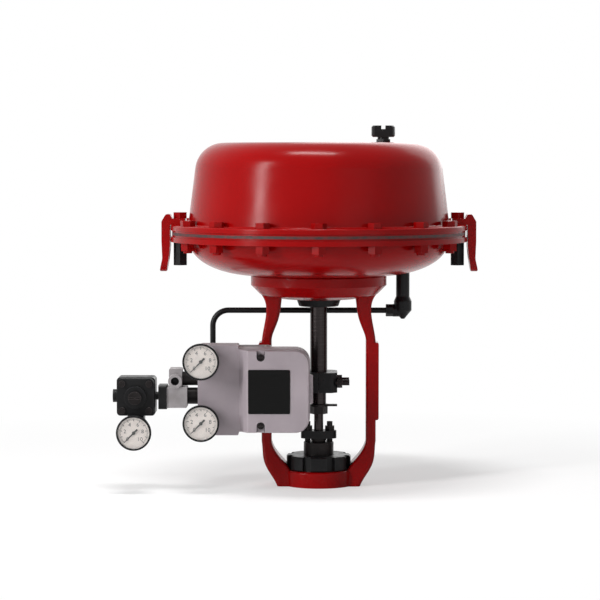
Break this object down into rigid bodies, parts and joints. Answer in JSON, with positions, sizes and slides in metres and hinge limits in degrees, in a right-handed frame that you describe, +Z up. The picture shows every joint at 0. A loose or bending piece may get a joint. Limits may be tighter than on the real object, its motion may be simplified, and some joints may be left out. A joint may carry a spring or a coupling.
{
  "type": "spring diaphragm actuator",
  "caption": "Pneumatic spring diaphragm actuator for a control valve: pressed casing, cast yoke, stem, positioner with hinged cover, dial gauges and filter regulator.",
  "frame": {"origin": "centre of the yoke's base face, at the mouth of the bonnet pilot bore", "axes": "+Z up along the stem, +X to the right seen from the gauge side, +Y to the back"},
  "size_m": [0.506, 0.414, 0.5035],
  "materials": {
    "red_enamel": "glossy baked enamel",
    "black_enamel": "satin black enamel",
    "black_steel": "blackened steel, slightly oiled",
    "zinc_steel": "zinc plated steel",
    "ground_steel": "ground and polished stem",
    "grey_enamel": "fine textured grey enamel on cast aluminium",
    "cast_aluminium": "bead blasted cast aluminium",
    "brass": "turned brass",
    "rubber": "fabric reinforced rubber",
    "packing": "white packing compound",
    "spring_steel": "phosphated spring steel",
    "dial_white": "printed off-white dial",
    "clear_glass": "clear window",
    "needle_black": "matt black"
  },
  "bodies": {
    "frame": {"air_manifold": "cast_aluminium", "air_tube": "black_enamel", "bonnet_screws": "black_steel", "bracket_bolts": "zinc_steel", "casing_bolts": "red_enamel", "casing_elbow": "black_enamel", "casing_nuts": "black_steel", "diaphragm": "rubber", "gauge_dials": "dial_white", "gauge_lenses": "clear_glass", "gauge_lower_case": "black_enamel", "gauge_regulator_case": "black_enamel", "gauge_upper_case": "black_enamel", "hinge_pin": "zinc_steel", "lifting_lug_left": "red_enamel", "lifting_lug_right": "red_enamel", "lower_casing": "red_enamel", "lug_bolts": "red_enamel", "lug_nuts": "black_enamel", "manifold_nipples": "brass", "packing_box": "black_steel", "packing_flange": "black_enamel", "packing_follower": "brass", "packing_nuts": "black_steel", "packing_rings": "packing", "packing_studs": "black_steel", "pilot_relay": "cast_aluminium", "positioner_bracket": "cast_aluminium", "positioner_housing": "grey_enamel", "range_springs": "spring_steel", "regulator_body": "black_enamel", "regulator_bonnet": "black_enamel", "stem_bushing": "black_enamel", "stem_seal": "rubber", "tube_connector": "black_enamel", "upper_casing": "red_enamel", "vent_plug": "black_enamel", "yoke": "red_enamel", "yoke_nut": "black_enamel", "yoke_screws": "zinc_steel"},
    "stem": {"diaphragm_plate": "zinc_steel", "plate_washer": "zinc_steel", "stem_nut": "zinc_steel", "actuator_stem": "ground_steel", "plug_stem": "ground_steel", "stem_clamp_right": "black_enamel", "stem_clamp_left": "black_enamel", "clamp_bolts": "black_steel", "take_off_pin": "zinc_steel", "lock_nut": "black_steel", "travel_pointer": "black_steel"},
    "feedback": {"feedback_lever": "zinc_steel", "feedback_shaft": "ground_steel", "positioner_cam": "cast_aluminium"},
    "cover": {"positioner_cover": "grey_enamel", "cover_screws": "black_steel"},
    "needle_lower": {"gauge_lower_needle": "needle_black"},
    "needle_upper": {"gauge_upper_needle": "needle_black"},
    "needle_regulator": {"gauge_regulator_needle": "needle_black"},
    "adjuster": {"adjusting_screw": "black_steel"}
  },
  "joints": [
    {"name": "stem_slide", "type": "slide", "parent": "frame", "child": "stem", "axis": [0, 0, 1], "range_m": [0, 0.038], "stiffness_N_per_m": 50000, "springref_m": -0.004, "deforming": ["range_springs", "diaphragm"]},
    {"name": "feedback_turn", "type": "hinge", "parent": "frame", "child": "feedback", "pos_m": [-0.094, -0.0315, 0.164], "axis": [0, -1, 0], "range_deg": [0, 28.07]},
    {"name": "cover_hinge", "type": "hinge", "parent": "frame", "child": "cover", "pos_m": [-0.012, -0.083, 0.1425], "axis": [0, 0, 1], "range_deg": [0, 110]},
    {"name": "needle_lower_turn", "type": "hinge", "parent": "frame", "child": "needle_lower", "pos_m": [-0.16, -0.112, 0.098], "axis": [0, 1, 0], "range_deg": [0, 270]},
    {"name": "needle_upper_turn", "type": "hinge", "parent": "frame", "child": "needle_upper", "pos_m": [-0.16, -0.112, 0.182], "axis": [0, 1, 0], "range_deg": [0, 270]},
    {"name": "needle_regulator_turn", "type": "hinge", "parent": "frame", "child": "needle_regulator", "pos_m": [-0.2515, -0.112, 0.085], "axis": [0, 1, 0], "range_deg": [0, 270]},
    {"name": "adjuster_turn", "type": "hinge", "parent": "frame", "child": "adjuster", "pos_m": [-0.2515, -0.09, 0.1305], "axis": [0, -1, 0], "continuous": true}
  ],
  "couplings": [
    {"joint": "feedback_turn", "follows": "stem_slide", "rad_per_m": 12.893}
  ]
}
